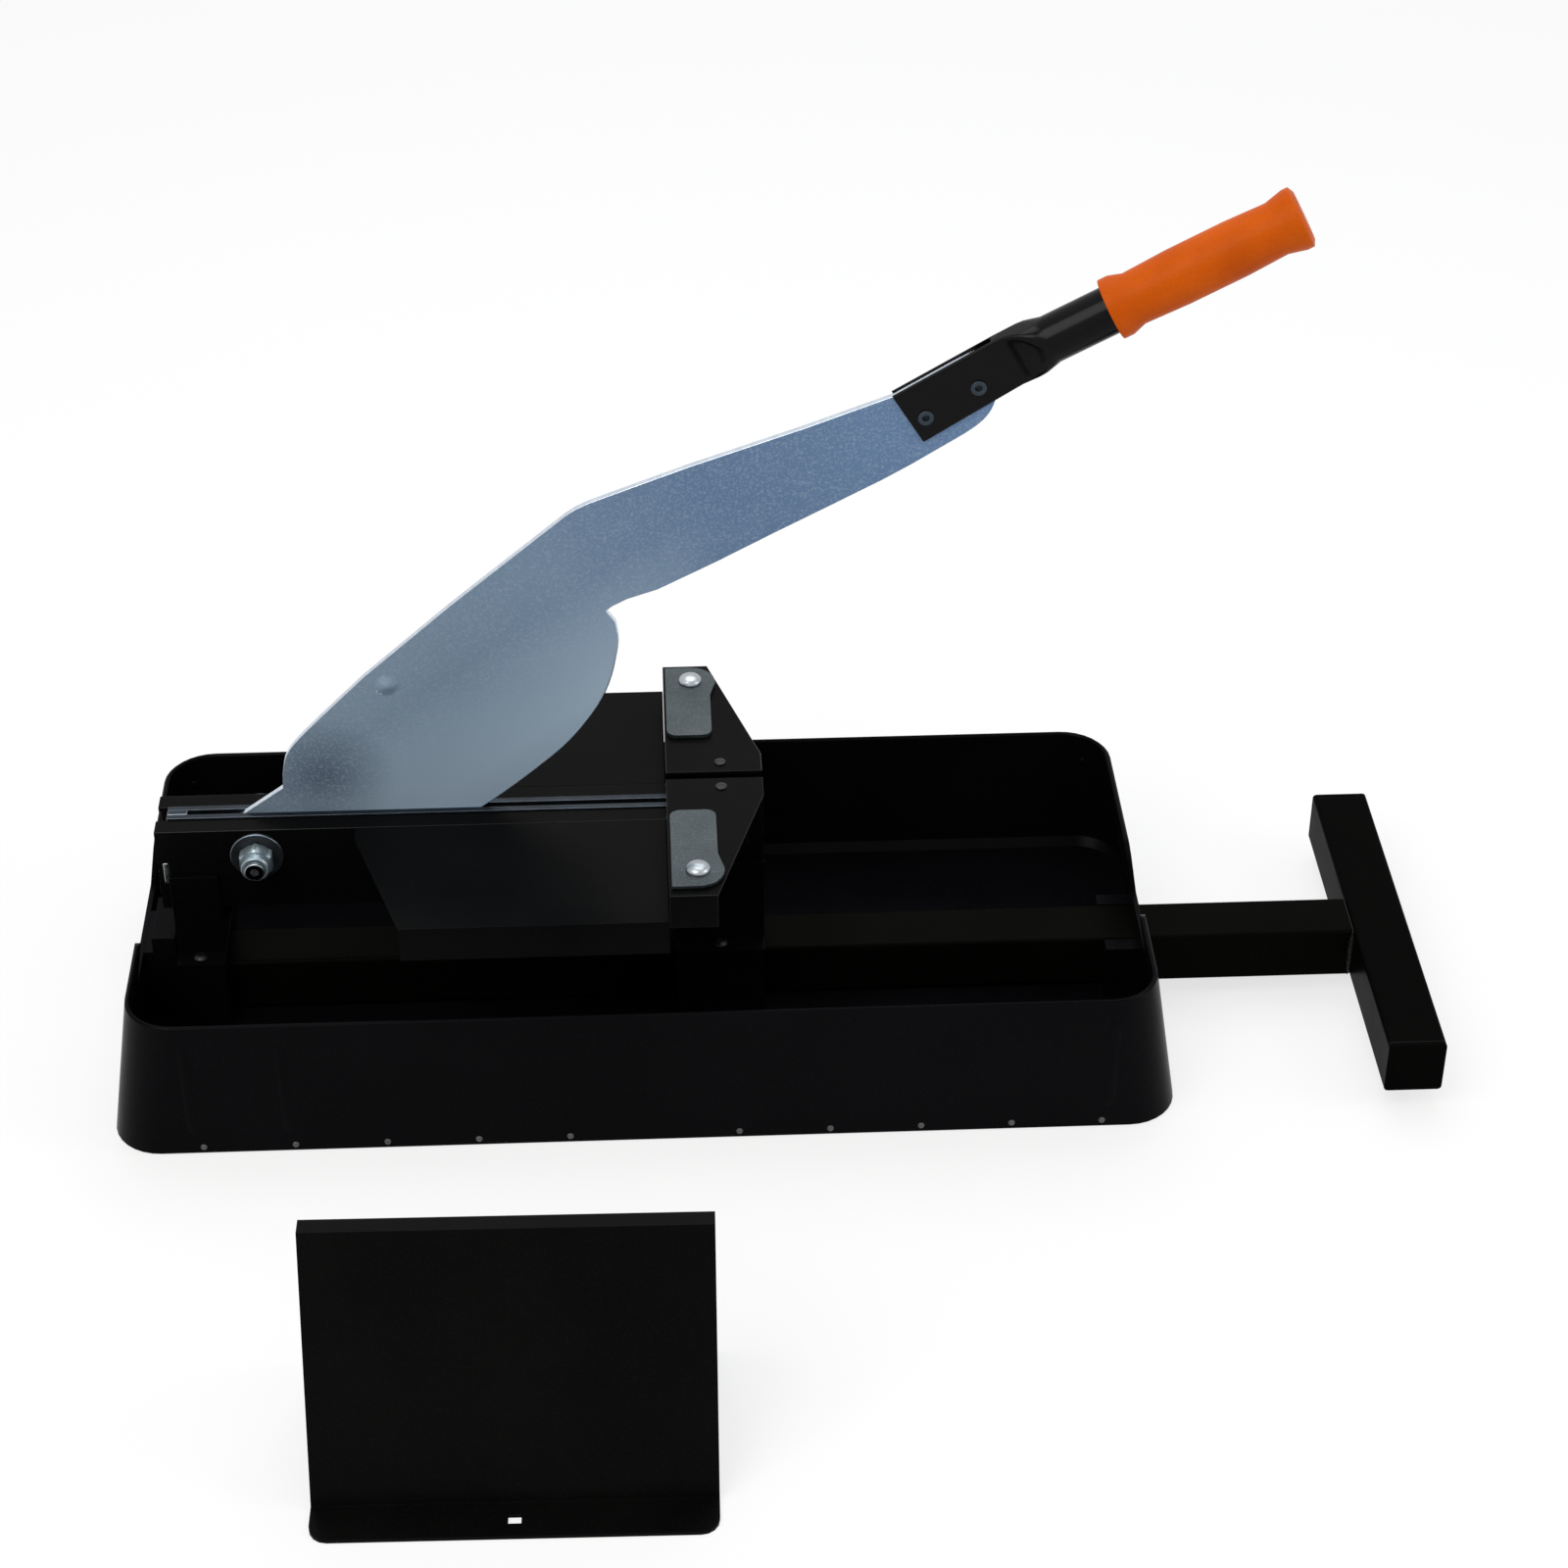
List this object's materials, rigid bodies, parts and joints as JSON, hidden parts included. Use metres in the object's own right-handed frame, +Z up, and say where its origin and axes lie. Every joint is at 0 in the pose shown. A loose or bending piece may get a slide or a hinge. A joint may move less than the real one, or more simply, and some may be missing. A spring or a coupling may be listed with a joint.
{
  "type": "laminate cutter",
  "caption": "Bench guillotine for laminate planks: lever blade on a pivot bolt over counter blades, steel frame in a moulded tray, pull-out T-bar and a loose plank support.",
  "frame": {"origin": "centre of the tray's foot bar, on the bench under the middle of the tray", "axes": "+X along the blade from the pivot towards the grip, +Y away from the user, +Z up from the bench; the blade swings in the plane Y = 0"},
  "size_m": [0.7953, 0.588, 0.5445],
  "materials": {
    "black_plastic": "moulded, fine satin grain",
    "black_paint": "black powder coat, semi-gloss",
    "tube_paint": "black powder coat, slightly olive",
    "blade_steel": "satin, bluish zinc plating",
    "zinc": "bright zinc plating",
    "bronze": "plain bearing bronze",
    "orange_rubber": "soft matte moulding",
    "black_rubber": "plain black rubber",
    "white_nylon": "plain nylon strip"
  },
  "bodies": {
    "frame": {"back_bed_plate": "black_paint", "back_counter_blade": "zinc", "back_fence_plate": "black_paint", "back_fence_screw": "black_paint", "back_rail": "black_paint", "back_stop_rivet": "zinc", "counter_back_spacer": "zinc", "counter_bolt": "black_paint", "counter_end_block": "zinc", "counter_front_spacer": "zinc", "counter_key": "zinc", "counter_nut": "black_paint", "front_bed_plate": "black_paint", "front_counter_blade": "zinc", "front_fence_plate": "black_paint", "front_fence_screw": "black_paint", "front_rail": "black_paint", "front_stop_rivet": "zinc", "left_back_stand_screw": "zinc", "left_front_stand_screw": "zinc", "left_slide_pad": "white_nylon", "left_stand": "black_paint", "pivot_back_spacer": "zinc", "pivot_back_washer": "zinc", "pivot_bolt": "zinc", "pivot_front_spacer": "zinc", "pivot_front_washer": "zinc", "pivot_lock_nut": "zinc", "right_back_stand_screw": "zinc", "right_front_stand_screw": "zinc", "right_slide_pad": "white_nylon", "right_stand": "black_paint", "tray": "black_plastic"},
    "lever": {"blade": "blade_steel", "blade_bush": "bronze", "blade_rivet": "zinc", "handle_tube": "black_paint", "fork_rivet_1": "black_paint", "fork_rivet_2": "black_paint", "grip": "orange_rubber"},
    "stabiliser": {"bar_stem": "tube_paint", "stem_end_cap": "black_plastic", "bar_crossbar": "black_paint", "crossbar_back_cap": "black_plastic", "crossbar_front_cap": "black_plastic", "crossbar_back_foot": "black_rubber", "crossbar_front_foot": "black_rubber"},
    "back_stop": {"back_stop_plate": "zinc"},
    "front_stop": {"front_stop_plate": "zinc"},
    "support": {"support_stand": "black_paint"}
  },
  "joints": [
    {"name": "lever_hinge", "type": "hinge", "parent": "frame", "child": "lever", "pos_m": [-0.23, 0, 0.1325], "axis": [0, 1, 0], "range_deg": [-40, 26]},
    {"name": "stabiliser_slide", "type": "slide", "parent": "frame", "child": "stabiliser", "axis": [1, 0, 0], "range_m": [0, 0.3]},
    {"name": "back_stop_hinge", "type": "hinge", "parent": "frame", "child": "back_stop", "pos_m": [0.033, 0.0985, 0.17], "axis": [0, 0, 1], "range_deg": [-90, 0]},
    {"name": "front_stop_hinge", "type": "hinge", "parent": "frame", "child": "front_stop", "pos_m": [0.033, -0.0985, 0.17], "axis": [0, 0, 1], "range_deg": [0, 90]},
    {"name": "support_place", "type": "slide", "parent": "frame", "child": "support", "axis": [0, 1, 0], "range_m": [-0.2, 0.12]}
  ]
}
